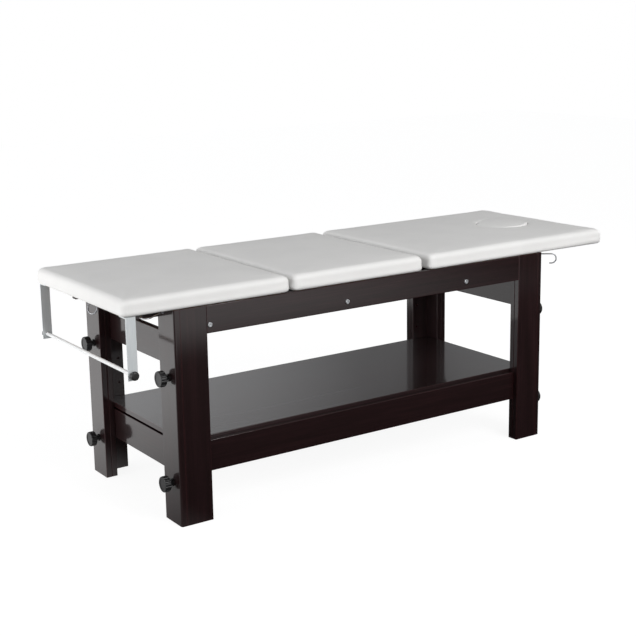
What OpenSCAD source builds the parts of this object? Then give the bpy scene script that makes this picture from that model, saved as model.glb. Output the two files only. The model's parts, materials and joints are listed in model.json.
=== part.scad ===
// Wooden massage table with three upholstered sections, a shelf and a paper-roll holder.
// +Z is up, +X runs from the foot end to the head end, and the origin is on the floor at the centre.

/* [Sections] */
// Length of the foot section's pad
foot_l = 583; // [560:1:650]
// Length of the seat section's pad
seat_l = 523; // [450:1:600]
// Length of the head section's pad
head_l = 822; // [760:1:900]
// Gap between the foot pad and the seat pad
foot_gap = 10; // [10:1:16]
// Gap between the seat pad and the head pad
head_gap = 26; // [24:1:36]
// Width of the pads
pad_w = 650; // [630:1:700]
// Thickness of a pad at its crown
pad_t = 58; // [54:1:70]
// Rise of the crown over the pad's edge
crown = 3; // [1:0.5:5]
// Radius of a pad's upper edge
pad_top_r = 19; // [8:1:28]
// Radius of a pad's lower edge
pad_low_r = 12; // [6:1:16]
// Radius of a pad's corners seen from above
pad_corner_r = 16; // [10:1:40]
// How far a pad's sides draw in between its corners
pad_pull = 2; // [0.5:0.5:4]
// Thickness of the board in a section
board_t = 12; // [9:1:15]

/* [Frame] */
// How far the base's sides stand in from the pads' sides
base_in = 6; // [4:1:14]
// Length of the foot section that is over the base
foot_stand = 414; // [405:1:440]
// Length of the head section that is over the base
head_stand = 522; // [500:1:560]
// Thickness of the frame's boards
ply_t = 20; // [18:1:22]
// Width of a post's end board
post_end_w = 104; // [100:1:120]
// Width of a post's side board
post_side_w = 112; // [100:1:130]
// Height of the outer posts
post_h = 682; // [670:1:740]
// Rounding of a post's outer corner
post_r = 7; // [3:1:9]
// Height of the top long rails
top_rail_h = 87; // [80:1:95]
// Height of the lower long rails
low_rail_h = 100; // [80:1:110]
// Underside of the lower long rails above the floor
low_rail_z = 151; // [140:1:180]
// Height of the cross rails
cross_rail_h = 101; // [80:1:105]
// Undersides of the upper cross rails below the tops of the outer posts
high_cross_drop = 199; // [185:1:210]
// Thickness of the shelf
shelf_t = 15; // [12:1:22]
// Top of the shelf above the top of the lower long rails
shelf_rise = 10; // [4:1:16]
// Gap between the shelf and the lower cross rails
shelf_clear = 8; // [2:1:12]
// Rounding along the edges of boards
edge_r = 2; // [1:0.5:4]

/* [Height adjustment] */
// Travel of the upper frame on the base
travel = 180; // [120:10:180]
// Height of the lower knobs
low_knob_z = 131; // [120:1:140]
// Upper knobs below the tops of the outer posts
high_knob_drop = 217; // [210:1:230]
// Diameter of a knob's head
knob_d = 50; // [40:1:56]
// Thickness of a knob's head
knob_t = 20; // [14:1:24]
// Length of a knob's neck
knob_neck = 12; // [8:1:18]
// Diameter of a knob's stud
stud_d = 10; // [8:1:12]

/* [Tilt] */
// Height of the hinge pins over the posts' tops
hinge_rise = 24; // [22:1:26]
// Tilt of the head section at its limit, in degrees
head_tilt = 70; // [40:1:70]
// Tilt of the foot section at its limit, in degrees
foot_tilt = 25; // [15:1:25]
// Length of the head section's stay
stay_l = 300; // [290:1:310]
// Length of the foot section's prop
prop_l = 110; // [105:1:115]
// Diameter of the stay's and the prop's rod
stay_d = 10; // [8:1:10]
// Diameter of the face hole
hole_d = 191; // [150:1:200]

/* [Roll holder and hooks] */
// Distance of the roll rod from the foot end
roll_x = 28; // [22:1:40]
// Drop of the roll rod under the pads
roll_drop = 174; // [140:1:200]
// Diameter of the roll rod
roll_d = 12; // [10:1:16]
// Width of a strap
strap_w = 32; // [28:1:40]
// Thickness of a strap
strap_t = 3; // [2:0.5:4]
// Reach of a hook from its post
hook_reach = 98; // [80:1:105]
// Diameter of a hook's wire
hook_d = 4.5; // [4:0.5:6]

/* [Hidden] */
$fn = 48;

// Colours of the finishes
wood = "#2e2024";
raw_wood = "#b08a5c";
vinyl = "#e9e7e3";
steel = "#b9bcc0";
rod_white = "#eceded";
black = "#1c1c1e";

// Small clearances shared by mating pieces
rest_gap = 0.3;
slide_gap = 0.5;
pin_gap = 0.05;
overrun = 1;

// Places along the table, from the foot end
table_l = foot_l + foot_gap + seat_l + head_gap + head_l;
foot_x = -table_l / 2;
seat_x = foot_x + foot_l + foot_gap;
head_x = seat_x + seat_l + head_gap;
base_x = foot_x + foot_l - foot_stand;
base_end_x = head_x + head_stand;
base_l = base_end_x - base_x;
base_w = pad_w - 2 * base_in;
half_w = base_w / 2;
high_cross_z = post_h - high_cross_drop;
high_knob_z = post_h - high_knob_drop;
pad_z = post_h + rest_gap;

// Places of the inner boards of a post, from the post's outer corner
inner_at = ply_t + slide_gap;
inner_end = inner_at + ply_t;
inner_h = post_h - rest_gap * 4;
rail_l = base_l - 2 * post_side_w;
inner_rail_l = rail_l;
clear_w = base_w - 2 * inner_end;
shelf_gap = 1;
bearer_h = 20;
bearer_w = 20;
shelf_z = low_rail_z + low_rail_h + shelf_rise - shelf_t;
low_cross_z = shelf_z - shelf_clear - cross_rail_h;

// Groove that shows where a post's end board meets its side board
groove = 0.7;

// Clamp tracks in the inner posts
nut_w = 18;
nut_t = 7;
nut_gap = 0.6;
mouth_depth = 5;
mouth_gap = 0.5;
knob_y = post_end_w / 2;
knob_zs = [low_knob_z, high_knob_z];

// Knobs
neck_d = 15;
flange_d = 24;
flange_t = 3;
knob_round = 3;
flute_count = 12;
flute_d = 9;
flute_depth = 2;
dish_d = 34;
dish_depth = 1;

// Rail bolts, barrel nuts and cross bars
foot_bolt_in = 9;
seat_bolt_in = 208;
head_bolt_in = 163;
bolt_xs = [base_x + post_side_w + foot_bolt_in, seat_x + seat_bolt_in, head_x + head_bolt_in];
bolt_drop = 60;
bolt_z = post_h - bolt_drop;
bolt_d = 8;
bolt_head_d = 15;
bolt_head_t = 4.5;
bolt_head_round = 1.5;
socket_d = 7;
socket_depth = 2.6;
bolt_depth = 45;
barrel_d = 12;
barrel_l = 24;
barrel_at = 35;
bar_w = 36;
bar_h = 36;
seat_bar_h = 40;
hole_gap = 0.3;

// Dowels and screws
dowel_d = 10;
dowel_l = 40;
dowel_in = 13;
screw_d = 5;
screw_l = 60;
screw_head_d = 10;
screw_head_t = 5;
screw_in = 24;

// Holes in the inner side boards
peg_d = 8;
peg_depth = 10;
peg_x = 93;
low_peg_z = 308;
high_peg_z = 394;
peg_zs = [low_peg_z, high_peg_z];

// Hooks
hook_bend = 17;
hook_drop = 15;
hook_z = post_h - hook_drop;
hook_y = 67;
hook_tip = 7;
hook_turn = [0, 0, 38];
flat_hook_turn = [90, 0, 38];
loose_hook_turn = [85, -70, -30];
hook_plate_d = 14;
hook_plate_t = 2.5;

// Boards and battens of the sections
board_in = 16;
batten_w = 28;
batten_h = 40;
batten_gap = 9;
batten_y = half_w - post_end_w - batten_gap - batten_w;
batten_in = 24;
foot_batten_at = 76;
head_batten_l = 476;

// Hinges at the two breaks
hinge_w = 56;
hinge_gap = 30;
hinge_step = batten_y - hinge_gap - hinge_w / 2;
hinge_ys = [-hinge_step, 0, hinge_step];
leaf_t = 2;
leaf_l = 52;
barrel_r = 4;
hinge_pin_r = 2.2;
knuckle_gap = 0.3;
leaf_hole_d = 4.5;
leaf_hole_y = 18;
leaf_hole_x = 38;
foot_hinge_x = seat_x - foot_gap / 2;
head_hinge_x = seat_x + seat_l + barrel_r + leaf_t / 2 + rest_gap * 3;
hinge_z = post_h + hinge_rise;

// The head section's stay, its brackets and the notches that it stands in
bracket_w = 12;
bracket_reach = 13;
stay_in = 28;
stay_half = batten_y - stay_in;
stay_bar_half = batten_y + batten_w;
stay_z = pad_z - batten_h - stay_d;
stay_x = bolt_xs[2] + bar_w / 2 + bracket_reach;
notch_r = 14;
notch_seat = 2.8;
notch_depth = stay_d / 2 - notch_seat + rest_gap;
notch_step = 17;
notch_tilts = [head_tilt, head_tilt - notch_step, head_tilt - 2 * notch_step];
stay_q = stay_x - head_hinge_x;
stay_drop = hinge_z - stay_z;
stay_touch = hinge_z - (pad_z - batten_h) + notch_seat;

// The foot section's prop, its brackets and the bar that it lands on at the section's limit
prop_from_hinge = 140;
prop_x = foot_hinge_x - prop_from_hinge;
prop_gap = 3;
prop_z = pad_z - batten_h - stay_d / 2 - prop_gap;
prop_in = 13;
prop_half = batten_y - prop_in;
prop_bar_in = 6;
prop_pivot_half = batten_y + batten_w - prop_bar_in;
prop_bracket_w = 16;
prop_bracket_l = 26;
prop_bracket_h = 20;
prop_swing = 3 * foot_tilt;
prop_drop = hinge_z - prop_z;
prop_lean = prop_swing - foot_tilt;
prop_bar_x = foot_hinge_x - prop_from_hinge * cos(foot_tilt) - prop_drop * sin(foot_tilt) - prop_l * cos(prop_lean);
prop_tip_z = hinge_z + prop_from_hinge * sin(foot_tilt) - prop_drop * cos(foot_tilt) - prop_l * sin(prop_lean);
prop_bar_w = 40;
prop_bar_z = post_h - top_rail_h;
prop_land_gap = 0.7;
prop_bar_h = prop_tip_z - stay_d / 2 - prop_land_gap - prop_bar_z;

// Face hole and plug
hole_from_end = 202;
plug_gap = 0.5;
plug_rise = 7;
plug_round = 9;
plug_ledge = 10;
plug_crown = 2;
plug_crown_shares = [0.5, 0.75];

// Roll holder
roll_z = pad_z - roll_drop;
strap_in = 8.7;
strap_y = pad_w / 2 - strap_in;
strap_tab = 44;
strap_low = 16;
strap_hole_gap = 0.3;
strap_tab_hole_d = 5;
cap_d = 27;
cap_l = 14;
cap_round = 5;
collar_d = 20;
collar_l = 3;
cap_bore = 8;

// A point on a rounded rectangle: i counts round the outline
corner_steps = 4;
side_steps = 5;
function corner_pts(cx, cy, r, a0) =
    [for (k = [0:corner_steps]) [cx + r * cos(a0 + k * 90 / corner_steps), cy + r * sin(a0 + k * 90 / corner_steps)]];
function side_pts(p, q, pull) = [for (k = [1:side_steps - 1])
    let (s = k / side_steps, d = (q - p) / norm(q - p))
    p + (q - p) * s + [-d[1], d[0]] * pull * sin(180 * s)];
function outline(l, w, inset, pull) =
    let (a = l / 2 - inset, b = w / 2 - inset, r = pad_corner_r,
        c1 = corner_pts(a - r, b - r, r, 0), c2 = corner_pts(r - a, b - r, r, 90),
        c3 = corner_pts(r - a, r - b, r, 180), c4 = corner_pts(a - r, r - b, r, 270))
    concat(c1, side_pts(c1[corner_steps], c2[0], pull), c2, side_pts(c2[corner_steps], c3[0], pull),
        c3, side_pts(c3[corner_steps], c4[0], pull), c4, side_pts(c4[corner_steps], c1[0], pull));

// Rings of a pad from its underside to its crown, each an inset and a height
low_steps = 3;
top_steps = 5;
crown_shares = [0.14, 0.32, 0.55, 0.8];
function pad_rings(half) = concat(
    [for (k = [0:low_steps]) let (a = 90 * k / low_steps) [pad_low_r * (1 - sin(a)), pad_low_r * (1 - cos(a))]],
    [for (k = [0:top_steps]) let (a = 90 * k / top_steps)
        [pad_top_r * (1 - cos(a)), pad_t - crown - pad_top_r * (1 - sin(a))]],
    [for (s = crown_shares) [pad_top_r + (half - pad_corner_r - pad_top_r) * s, pad_t - crown + crown * sin(90 * s)]]);

module pad_solid(l, w) {
    half = min(l, w) / 2;
    rings = pad_rings(half);
    n = 4 * (corner_steps + side_steps);
    m = len(rings);
    pts = [for (g = rings, p = outline(l, w, g[0], pad_pull * (1 - g[0] / half))) [p[0], p[1], g[1]]];
    faces = concat([[for (i = [0:n - 1]) i]],
        [for (k = [0:m - 2], i = [0:n - 1]) let (j = (i + 1) % n)
            each [[k * n + i, (k + 1) * n + i, (k + 1) * n + j], [k * n + i, (k + 1) * n + j, k * n + j]]],
        [[for (i = [n - 1:-1:0]) (m - 1) * n + i]]);
    polyhedron(pts, faces, convexity = 4);
}

// An upholstered pad with the pocket that its board sits in
module pad(l) {
    difference() {
        pad_solid(l, pad_w);
        translate([-l / 2 + board_in, -pad_w / 2 + board_in, -overrun])
            cube([l - 2 * board_in, pad_w - 2 * board_in, board_t + overrun]);
    }
}

module section_board(l) {
    translate([-l / 2 + board_in, -pad_w / 2 + board_in, 0])
        cube([l - 2 * board_in, pad_w - 2 * board_in, board_t]);
}

// A rectangle with rounded corners, from the origin
module rounded(a, b, r) {
    translate([r, 0]) square([a - 2 * r, b]);
    translate([0, r]) square([a, b - 2 * r]);
    for (x = [r, a - r], y = [r, b - r]) translate([x, y]) circle(r);
}

// A board that lies along X, with rounded long edges
module board_x(l, w, h) {
    rotate([90, 0, 90]) linear_extrude(l) rounded(w, h, edge_r);
}

// A board that lies along Y, with rounded long edges
module board_y(l, w, h) {
    translate([0, l, 0]) rotate([90, 0, 0]) linear_extrude(l) rounded(w, h, edge_r);
}

// Puts a post's own frame at its corner: head is 0 or 1, far is 0 or 1
module at_post(head, far) {
    translate([head ? base_end_x : base_x, far ? half_w : -half_w, 0])
        mirror([head, 0, 0]) mirror([0, far, 0]) children();
}

module near_far(far) {
    mirror([0, far, 0]) children();
}

// A cylinder along X or Y, from a point
module rod_x(d, l) {
    rotate([0, 90, 0]) cylinder(d = d, h = l);
}

module rod_y(d, l) {
    rotate([-90, 0, 0]) cylinder(d = d, h = l);
}

// Dowel places at a rail's end, as heights over the rail's underside
function dowel_zs(h) = [dowel_in, h - dowel_in];

// The outer post: an end board that covers the side board's edge, glued into an L
module outer_post(head, far) {
    color(wood) at_post(head, far) difference() {
        linear_extrude(post_h) difference() {
            union() {
                translate([0, post_r]) square([ply_t, post_end_w - post_r - edge_r]);
                translate([edge_r, post_r]) square([ply_t - 2 * edge_r, post_end_w - post_r]);
                translate([post_r, 0]) square([post_side_w - post_r - edge_r, ply_t]);
                translate([post_r, edge_r]) square([post_side_w - post_r, ply_t - 2 * edge_r]);
                translate([post_r, post_r]) circle(post_r);
                for (x = [edge_r, ply_t - edge_r]) translate([x, post_end_w - edge_r]) circle(edge_r);
                for (y = [edge_r, ply_t - edge_r]) translate([post_side_w - edge_r, y]) circle(edge_r);
            }
            translate([ply_t, 0]) rotate(45) square(groove, center = true);
        }
        for (z = knob_zs) translate([-overrun, knob_y, z]) rod_x(stud_d + 2 * hole_gap, ply_t + 2 * overrun);
        for (z = dowel_zs(top_rail_h))
            translate([post_side_w - dowel_l / 2, ply_t / 2, post_h - top_rail_h + z])
                rod_x(dowel_d + 2 * pin_gap, dowel_l);
    }
}

// The inner post, with the tracks that the captive nuts slide in
module inner_post(head, far) {
    color(wood) at_post(head, far) difference() {
        linear_extrude(inner_h) {
            translate([inner_at, inner_at]) square([ply_t, post_end_w - inner_at - edge_r]);
            translate([inner_at + edge_r, inner_at]) square([ply_t - 2 * edge_r, post_end_w - inner_at]);
            translate([inner_at, inner_at]) square([post_side_w - inner_at - edge_r, ply_t]);
            translate([inner_at, inner_at + edge_r]) square([post_side_w - inner_at, ply_t - 2 * edge_r]);
            for (x = [edge_r, ply_t - edge_r]) translate([inner_at + x, post_end_w - edge_r]) circle(edge_r);
            for (y = [edge_r, ply_t - edge_r]) translate([post_side_w - edge_r, inner_at + y]) circle(edge_r);
        }
        for (z = knob_zs) translate([inner_at, knob_y, z]) track();
        for (z = peg_zs) translate([peg_x, inner_end - peg_depth, z]) rod_y(peg_d, peg_depth + overrun);
        for (z = dowel_zs(low_rail_h))
            translate([post_side_w - dowel_l / 2, inner_at + ply_t / 2, low_rail_z + z])
                rod_x(dowel_d + 2 * pin_gap, dowel_l);
        for (z = [low_cross_z, high_cross_z]) screw_pair(z, pin_gap);
    }
}

// One clamp track, from the nut's lowest place to its highest
module track() {
    mouth_w = stud_d + 2 * mouth_gap;
    pocket_w = nut_w + nut_gap;
    translate([-overrun, -mouth_w / 2, -mouth_w / 2]) cube([mouth_depth + 2 * overrun, mouth_w, travel + mouth_w]);
    translate([mouth_depth, -pocket_w / 2, -pocket_w / 2]) cube([nut_t + nut_gap, pocket_w, travel + pocket_w]);
}

// Two screws through a post's side board into a cross rail's end, grown by a clearance
module screw_pair(z, gap) {
    for (s = [screw_in, cross_rail_h - screw_in]) translate([inner_end + ply_t / 2, inner_at, z + s]) {
        rod_y(screw_d + 2 * gap, screw_l + gap);
        translate([0, -gap, 0]) rod_y(screw_head_d + 2 * gap, screw_head_t + 2 * gap);
    }
}

module cross_rail_screws() {
    color(steel) for (head = [0, 1], far = [0, 1], z = [low_cross_z, high_cross_z])
        at_post(head, far) screw_pair(z, 0);
}

// A cross rail between two inner posts
module cross_rail(head, z) {
    color(wood) difference() {
        translate([head ? base_end_x - inner_end - ply_t : base_x + inner_end, -clear_w / 2, z])
            board_y(clear_w, ply_t, cross_rail_h);
        for (far = [0, 1]) at_post(head, far) screw_pair(z, pin_gap);
    }
}

module rail_end_dowels(h, gap) {
    for (x = [0, rail_l], z = dowel_zs(h))
        translate([x - dowel_l / 2 - gap, ply_t / 2, z]) rod_x(dowel_d + 2 * gap, dowel_l + 2 * gap);
}

module low_rail(far) {
    color(wood) near_far(far) translate([base_x + post_side_w, -half_w + inner_at, low_rail_z]) difference() {
        board_x(rail_l, ply_t, low_rail_h);
        rail_end_dowels(low_rail_h, pin_gap);
    }
}

module low_rail_dowels() {
    color(raw_wood) for (far = [0, 1]) near_far(far)
        translate([base_x + post_side_w, -half_w + inner_at, low_rail_z]) rail_end_dowels(low_rail_h, 0);
}

module shelf_panel() {
    color(wood) translate([base_x + inner_end + shelf_gap, -clear_w / 2 + shelf_gap, shelf_z])
        board_x(base_l - 2 * (inner_end + shelf_gap), clear_w - 2 * shelf_gap, shelf_t);
}

// Strips on the low rails' inner faces that carry the shelf
module shelf_bearers() {
    color(wood) for (far = [0, 1]) near_far(far)
        translate([base_x + post_side_w, -clear_w / 2, shelf_z - bearer_h]) cube([rail_l, bearer_w, bearer_h]);
}

module top_rail(far) {
    color(wood) near_far(far) difference() {
        translate([base_x + post_side_w, -half_w, post_h - top_rail_h]) difference() {
            board_x(rail_l, ply_t, top_rail_h);
            rail_end_dowels(top_rail_h, pin_gap);
        }
        for (x = bolt_xs) translate([x, -half_w - overrun, bolt_z])
            rod_y(bolt_d + 2 * hole_gap, ply_t + 2 * overrun);
    }
}

module top_rail_dowels() {
    color(raw_wood) for (far = [0, 1]) near_far(far)
        translate([base_x + post_side_w, -half_w, post_h - top_rail_h]) rail_end_dowels(top_rail_h, 0);
}

// Button-head bolts with a socket, through the top rails into the cross bars
module rail_bolts() {
    color(steel) for (far = [0, 1], x = bolt_xs) near_far(far) translate([x, -half_w, bolt_z]) difference() {
        union() {
            rod_y(bolt_d, ply_t + bolt_depth);
            rotate([90, 0, 0]) rotate_extrude() {
                square([bolt_head_d / 2, bolt_head_t - bolt_head_round]);
                square([bolt_head_d / 2 - bolt_head_round, bolt_head_t]);
                translate([bolt_head_d / 2 - bolt_head_round, bolt_head_t - bolt_head_round])
                    circle(bolt_head_round);
            }
        }
        translate([0, -bolt_head_t - overrun, 0]) rotate([-90, 0, 0])
            cylinder(d = socket_d, h = socket_depth + overrun, $fn = 6);
    }
}

// The holes in a cross bar's ends for its bolt and barrel nut
module bar_holes(x) {
    for (far = [0, 1]) near_far(far) translate([x, -half_w + ply_t, bolt_z]) {
        translate([0, -overrun, 0]) rod_y(bolt_d + 2 * hole_gap, bolt_depth + 2 * overrun);
        translate([0, barrel_at, -bar_h / 2 - seat_bar_h])
            cylinder(d = barrel_d + 2 * pin_gap, h = bar_h / 2 + seat_bar_h + barrel_l / 2 + pin_gap);
    }
}

// A cross bar between the top rails, notched where an inner post stands at its end
module cross_bar(x, h) {
    color(wood) difference() {
        translate([x - bar_w / 2, -half_w + ply_t, bolt_z - h / 2]) board_y(base_w - 2 * ply_t, bar_w, h);
        bar_holes(x);
        for (far = [0, 1]) near_far(far)
            translate([base_x, -half_w + ply_t - overrun, bolt_z - h])
                cube([post_side_w + slide_gap, ply_t + 2 * slide_gap + overrun, 2 * h]);
    }
}

module barrel_nuts() {
    color(steel) for (far = [0, 1], x = bolt_xs) near_far(far)
        translate([x, -half_w + ply_t + barrel_at, bolt_z]) difference() {
            translate([0, 0, -barrel_l / 2]) cylinder(d = barrel_d, h = barrel_l);
            translate([0, -barrel_d, 0]) rod_y(bolt_d + 2 * pin_gap, 2 * barrel_d);
        }
}

module prop_bar() {
    color(wood) translate([prop_bar_x - prop_bar_w / 2, -half_w + ply_t, prop_bar_z])
        board_y(base_w - 2 * ply_t, prop_bar_w, prop_bar_h);
}

module captive_nuts() {
    color(steel) for (head = [0, 1], far = [0, 1], z = knob_zs) at_post(head, far)
        translate([inner_at + mouth_depth + nut_gap / 2, knob_y, z]) difference() {
            translate([0, -nut_w / 2, -nut_w / 2]) cube([nut_t, nut_w, nut_w]);
            translate([-overrun, 0, 0]) rod_x(stud_d + 2 * pin_gap, nut_t + 2 * overrun);
        }
}

// A wire J-hook, its stem along -X until it is turned
module hook(turn) {
    straight = hook_reach - hook_d / 2 - hook_bend;
    rotate(turn) {
        translate([-straight, 0, 0]) rod_x(hook_d, straight);
        translate([-straight, 0, -hook_bend]) rotate([90, 0, 0]) rotate([0, 0, 90])
            rotate_extrude(angle = 180) translate([hook_bend, 0]) circle(d = hook_d);
        translate([-straight, 0, -2 * hook_bend]) rod_x(hook_d, hook_tip);
    }
}

// The four hooks swing outward from round plates, except that at the foot end the near one lies flat
// and the far one is loose and hangs down
module coat_hooks() {
    color(steel) for (head = [0, 1], far = [0, 1]) at_post(head, far) translate([0, hook_y, hook_z]) {
        translate([-hook_plate_t, 0, 0]) rod_x(hook_plate_d, hook_plate_t);
        translate([-hook_plate_t, 0, 0])
            hook(head == 1 ? hook_turn : far == 1 ? loose_hook_turn : flat_hook_turn);
    }
}

// The knob: a fluted head, a neck with a flange, and the stud moulded into it
module knob_solid() {
    reach = flange_t + knob_neck;
    rotate([0, -90, 0]) difference() {
        union() {
            translate([0, 0, rest_gap]) cylinder(d = flange_d, h = flange_t);
            translate([0, 0, rest_gap]) cylinder(d = neck_d, h = reach);
            translate([0, 0, reach]) rotate_extrude() {
                square([knob_d / 2 - knob_round, knob_t]);
                translate([0, knob_round]) square([knob_d / 2, knob_t - 2 * knob_round]);
                for (z = [knob_round, knob_t - knob_round])
                    translate([knob_d / 2 - knob_round, z]) circle(knob_round);
            }
            translate([0, 0, -inner_at - mouth_depth - nut_t])
                cylinder(d = stud_d, h = inner_at + mouth_depth + nut_t + reach);
        }
        for (k = [0:flute_count - 1]) rotate(k * 360 / flute_count)
            translate([knob_d / 2 + flute_d / 2 - flute_depth, 0, reach - overrun])
                cylinder(d = flute_d, h = knob_t + 2 * overrun);
        translate([0, 0, reach + knob_t - dish_depth]) cylinder(d = dish_d, h = dish_depth + overrun);
    }
}

module knob(head, far, z) {
    color(black) at_post(head, far) translate([0, knob_y, z]) knob_solid();
}

// The three sections' pads and boards
module foot_pad() {
    color(vinyl) translate([foot_x + foot_l / 2, 0, pad_z]) pad(foot_l);
}

module foot_board() {
    color(raw_wood) translate([foot_x + foot_l / 2, 0, pad_z]) section_board(foot_l);
}

module seat_pad() {
    color(vinyl) translate([seat_x + seat_l / 2, 0, pad_z]) pad(seat_l);
}

module seat_board() {
    color(raw_wood) translate([seat_x + seat_l / 2, 0, pad_z]) section_board(seat_l);
}

module head_pad() {
    color(vinyl) difference() {
        translate([head_x + head_l / 2, 0, pad_z]) pad(head_l);
        translate([head_x + head_l - hole_from_end, 0, pad_z - overrun])
            cylinder(d = hole_d + 2 * plug_gap, h = pad_t + 2 * overrun, $fn = 64);
    }
}

module head_board() {
    color(raw_wood) difference() {
        translate([head_x + head_l / 2, 0, pad_z]) section_board(head_l);
        translate([head_x + head_l - hole_from_end, 0, pad_z - overrun])
            cylinder(d = hole_d - 2 * plug_ledge, h = board_t + 2 * overrun, $fn = 64);
    }
}

// The plug stands on the ledge that the board leaves round the face hole
module face_plug() {
    h = pad_t + plug_rise - board_t - rest_gap;
    r = hole_d / 2;
    color(vinyl) translate([head_x + head_l - hole_from_end, 0, pad_z + board_t + rest_gap]) rotate_extrude($fn = 64) {
        square([r, h - plug_round]);
        square([r - plug_round, h]);
        translate([r - plug_round, h - plug_round]) circle(plug_round);
        polygon([[0, h], [r - plug_round, h],
            [(r - plug_round) * plug_crown_shares[0], h + plug_crown * plug_crown_shares[1]], [0, h + plug_crown]]);
    }
}

// Battens under a section, from one place to another along X
module battens(x0, x1) {
    for (far = [0, 1]) near_far(far)
        translate([x0, -batten_y - batten_w, pad_z - batten_h]) board_x(x1 - x0, batten_w, batten_h);
}

module foot_battens() {
    color(wood) battens(foot_x + foot_batten_at, foot_x + foot_l - batten_in);
}

module seat_battens() {
    color(wood) battens(seat_x + batten_in, seat_x + seat_l - batten_in);
}

// Where the stay's bar stands on the battens at a tilt, measured from the hinge along the section
function notch_at(tilt) =
    let (lift = stay_q * sin(tilt) + stay_drop * cos(tilt) - stay_touch)
    stay_q * cos(tilt) - stay_drop * sin(tilt) + sqrt(stay_l * stay_l - lift * lift);

module head_battens() {
    color(wood) difference() {
        battens(head_x + batten_in, head_x + batten_in + head_batten_l);
        for (tilt = notch_tilts)
            translate([head_hinge_x + notch_at(tilt), -pad_w / 2, pad_z - batten_h - notch_r + notch_depth])
                rod_y(2 * notch_r, pad_w);
    }
}

// One cranked hinge leaf: knuckles on the barrel, a web down the gap and a flange under the board
module hinge_leaf(moving) {
    knuckle = hinge_w / 5;
    from = moving ? 1 : 0;
    drop = hinge_z - pad_z;
    difference() {
        union() {
            for (k = [from:2:4]) translate([0, -hinge_w / 2 + k * knuckle + knuckle_gap / 2, 0]) {
                rod_y(2 * barrel_r, knuckle - knuckle_gap);
                translate([barrel_r - leaf_t, 0, -barrel_r]) cube([leaf_t, knuckle - knuckle_gap, barrel_r]);
            }
            translate([barrel_r - leaf_t, -hinge_w / 2, -drop - leaf_t])
                cube([leaf_t, hinge_w, drop + leaf_t - barrel_r - knuckle_gap]);
            for (k = [from:2:4]) translate([barrel_r - leaf_t, -hinge_w / 2 + k * knuckle + knuckle_gap / 2, -2 * barrel_r])
                cube([leaf_t, knuckle - knuckle_gap, 2 * barrel_r]);
            translate([barrel_r - leaf_t, -hinge_w / 2, -drop - leaf_t]) cube([leaf_l, hinge_w, leaf_t]);
        }
        translate([0, -hinge_w, 0]) rod_y(2 * (hinge_pin_r + pin_gap), 2 * hinge_w);
        for (s = [-1, 1]) translate([leaf_hole_x, s * leaf_hole_y, -drop - 2 * leaf_t])
            cylinder(d = leaf_hole_d, h = 3 * leaf_t);
    }
}

module hinge_leaves(x, toward_foot, moving) {
    color(steel) for (y = hinge_ys) translate([x, y, hinge_z]) mirror([toward_foot, 0, 0]) hinge_leaf(moving);
}

module hinge_pins() {
    color(steel) for (x = [foot_hinge_x, head_hinge_x], y = hinge_ys)
        translate([x, y - hinge_w / 2, hinge_z]) rod_y(2 * hinge_pin_r, hinge_w);
}

// Brackets on the head cross bar that the stay turns in
module stay_brackets() {
    color(steel) for (far = [0, 1]) near_far(far) translate([stay_x, -stay_half - bracket_w / 2, stay_z]) difference() {
        union() {
            rod_y(2 * stay_d, bracket_w);
            translate([-bracket_reach, 0, -stay_d]) cube([bracket_reach, bracket_w, 2 * stay_d]);
        }
        translate([0, -overrun, 0]) rod_y(stay_d + 2 * pin_gap, bracket_w + 2 * overrun);
    }
}

// The stay: an H of rod, with a pivot bar in the brackets and a long bar that stands in the notches
module head_stay() {
    pivot_half = stay_half + bracket_w;
    arm_y = stay_half - bracket_w;
    color(steel) translate([stay_x, 0, stay_z]) {
        translate([0, -pivot_half, 0]) rod_y(stay_d, 2 * pivot_half);
        translate([stay_l, -stay_bar_half, 0]) rod_y(stay_d, 2 * stay_bar_half);
        for (y = [-arm_y, arm_y]) translate([0, y, 0]) rod_x(stay_d, stay_l);
    }
}

// Brackets under the foot battens that the prop turns in
module prop_brackets() {
    color(steel) for (far = [0, 1]) near_far(far)
        translate([prop_x, -batten_y - batten_w / 2 - prop_bracket_w / 2, 0]) difference() {
            translate([-prop_bracket_l / 2, 0, pad_z - batten_h - prop_bracket_h])
                cube([prop_bracket_l, prop_bracket_w, prop_bracket_h]);
            translate([0, -overrun, prop_z]) rod_y(stay_d + 2 * pin_gap, prop_bracket_w + 2 * overrun);
        }
}

// The prop: a closed frame of rod
module foot_prop() {
    color(steel) translate([prop_x, 0, prop_z]) {
        translate([0, -prop_pivot_half, 0]) rod_y(stay_d, 2 * prop_pivot_half);
        translate([-prop_l, -prop_half - stay_d / 2, 0]) rod_y(stay_d, 2 * prop_half + stay_d);
        for (y = [-prop_half, prop_half]) translate([-prop_l, y, 0]) rod_x(stay_d, prop_l);
    }
}

// A strap that hangs from the foot section, with a tab screwed under the board
module roll_strap(far) {
    strap_z = roll_z - strap_low;
    color(steel) near_far(far) translate([foot_x + roll_x - strap_w / 2, -strap_y - strap_t, 0]) difference() {
        union() {
            translate([0, 0, strap_z + strap_w / 2 - strap_low])
                cube([strap_w, strap_t, pad_z - strap_z - strap_w / 2 + strap_low]);
            translate([strap_w / 2, 0, roll_z]) rod_y(strap_w, strap_t);
            translate([0, 0, pad_z - strap_t]) cube([strap_w, strap_tab, strap_t]);
        }
        translate([strap_w / 2, -overrun, roll_z]) rod_y(roll_d + 2 * strap_hole_gap, strap_t + 2 * overrun);
        translate([strap_w / 2, strap_tab - strap_w / 2, pad_z - 2 * strap_t])
            cylinder(d = strap_tab_hole_d, h = 3 * strap_t);
    }
}

module roll_rod() {
    half = strap_y + strap_t + cap_bore;
    color(rod_white) translate([foot_x + roll_x, -half, roll_z]) rod_y(roll_d, 2 * half);
}

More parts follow.
